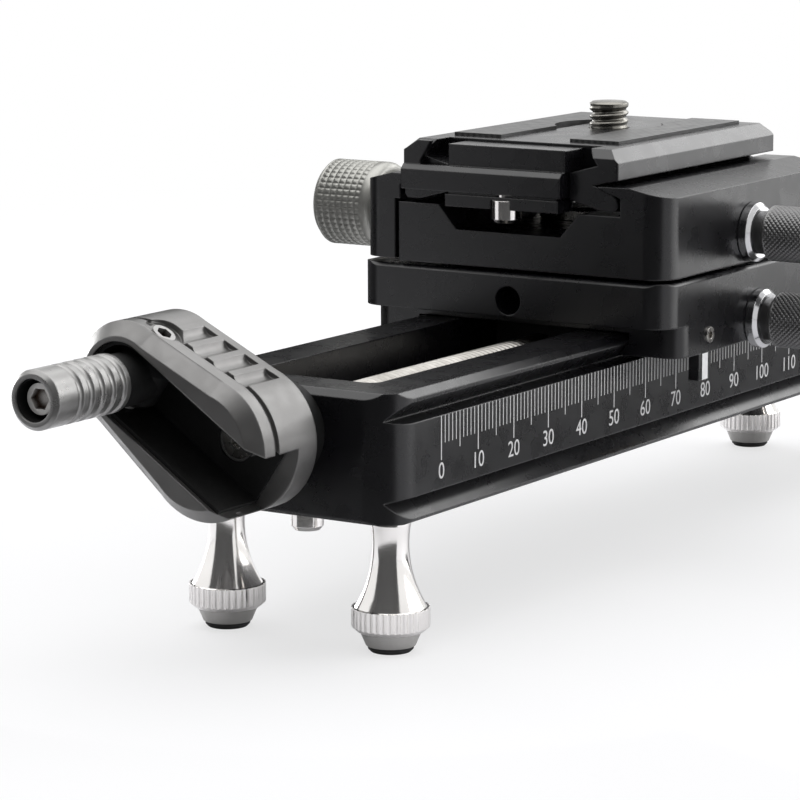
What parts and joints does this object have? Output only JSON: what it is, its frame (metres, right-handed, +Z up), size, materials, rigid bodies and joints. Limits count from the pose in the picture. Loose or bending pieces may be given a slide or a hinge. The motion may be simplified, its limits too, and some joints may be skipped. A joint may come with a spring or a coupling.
{
  "type": "macro focusing rail",
  "caption": "Screw-driven focusing rail on short feet, with a folding crank, a sliding carriage and a turning quick-release clamp that holds a camera plate.",
  "frame": {"origin": "centre of the middle tripod hole's mouth, in the rail's underside", "axes": "+X along the rail away from the crank, +Y across it towards the clamp's big knob, +Z up out of the rail's top"},
  "size_m": [0.2197, 0.0971, 0.0711],
  "materials": {
    "black_anodised": "satin black anodised",
    "titanium_grey": "satin grey anodised",
    "polished_steel": "polished",
    "chrome": "polished",
    "steel": "turned",
    "bronze": "machined",
    "rubber": "matt",
    "black_plastic": "matt"
  },
  "bodies": {
    "rail": {"rail_base": "black_anodised", "front_bearing": "black_plastic", "rear_bearing": "black_plastic", "rear_plug": "black_anodised", "end_stop_screws": "steel", "foot_front_left": "polished_steel", "foot_front_right": "polished_steel", "foot_rear_left": "polished_steel", "foot_rear_right": "polished_steel", "foot_cups": "titanium_grey", "foot_pads": "rubber"},
    "crank": {"lead_screw": "steel", "thrust_collar": "black_anodised", "crank_shell": "titanium_grey", "crank_liner": "black_plastic", "crank_screw": "steel", "handle_pivot": "polished_steel"},
    "handle": {"handle_knuckle": "black_plastic", "handle_screw": "polished_steel"},
    "grip": {"handle_grip": "titanium_grey"},
    "carriage": {"carriage_body": "black_anodised", "lock_gib": "bronze", "gib_screw": "steel", "index_pointer": "black_anodised", "drive_nut": "black_plastic", "nut_screws": "steel", "pan_washer": "black_plastic", "pan_post": "steel", "pan_cap": "steel", "pan_screw": "steel"},
    "carriage_lock": {"carriage_lock_knob": "titanium_grey", "carriage_lock_ring": "chrome", "carriage_lock_stud": "steel"},
    "clamp": {"clamp_body": "black_anodised", "jaw_guide_pins": "steel"},
    "jaw": {"clamp_jaw": "black_anodised", "clamp_sleeve": "steel"},
    "clamp_knob": {"clamp_screw": "steel", "clamp_knob": "titanium_grey"},
    "pan_lock": {"pan_lock_knob": "titanium_grey", "pan_lock_ring": "chrome", "pan_lock_stud": "steel", "pan_lock_tip": "bronze"},
    "plate": {"plate_body": "black_anodised", "plate_front_lip": "black_anodised", "plate_pads": "rubber", "plate_stop_screws": "polished_steel"},
    "camera_screw": {"camera_screw": "steel"}
  },
  "joints": [
    {"name": "crank_turn", "type": "hinge", "parent": "rail", "child": "crank", "pos_m": [-0.09, 0, 0.0125], "axis": [1, 0, 0], "range_deg": [-17885, 17885]},
    {"name": "carriage_slide", "type": "slide", "parent": "rail", "child": "carriage", "axis": [1, 0, 0], "range_m": [-0.0621, 0.0621]},
    {"name": "handle_fold", "type": "hinge", "parent": "crank", "child": "handle", "pos_m": [-0.1057, 0.01306, 0.02121], "axis": [0, -0.5548, 0.832], "range_deg": [0, 90]},
    {"name": "grip_spin", "type": "hinge", "parent": "handle", "child": "grip", "pos_m": [-0.12, 0.01306, 0.02121], "axis": [1, 0, 0], "continuous": true},
    {"name": "carriage_lock_turn", "type": "hinge", "parent": "carriage", "child": "carriage_lock", "pos_m": [0.0028, -0.035, 0.0186], "axis": [0, 1, 0], "range_deg": [-90, 90]},
    {"name": "pan_turn", "type": "hinge", "parent": "carriage", "child": "clamp", "pos_m": [0, 0, 0.028], "axis": [0, 0, 1], "continuous": true},
    {"name": "pan_lock_turn", "type": "hinge", "parent": "clamp", "child": "pan_lock", "pos_m": [0, -0.035, 0.03275], "axis": [0, 1, 0], "range_deg": [-90, 90]},
    {"name": "jaw_slide", "type": "slide", "parent": "clamp", "child": "jaw", "axis": [0, 1, 0], "range_m": [0, 0.006]},
    {"name": "clamp_knob_turn", "type": "hinge", "parent": "jaw", "child": "clamp_knob", "pos_m": [0, 0.04, 0.03275], "axis": [0, 1, 0], "range_deg": [0, 2160]},
    {"name": "plate_slide", "type": "slide", "parent": "clamp", "child": "plate", "axis": [1, 0, 0], "range_m": [-0.0095, 0]},
    {"name": "camera_screw_turn", "type": "hinge", "parent": "plate", "child": "camera_screw", "pos_m": [0.0038, 0, 0.048], "axis": [0, 0, 1], "continuous": true}
  ],
  "couplings": [
    {"joint": "crank_turn", "follows": "carriage_slide", "rad_per_m": -5026.5},
    {"joint": "clamp_knob_turn", "follows": "jaw_slide", "rad_per_m": 6283.2}
  ]
}
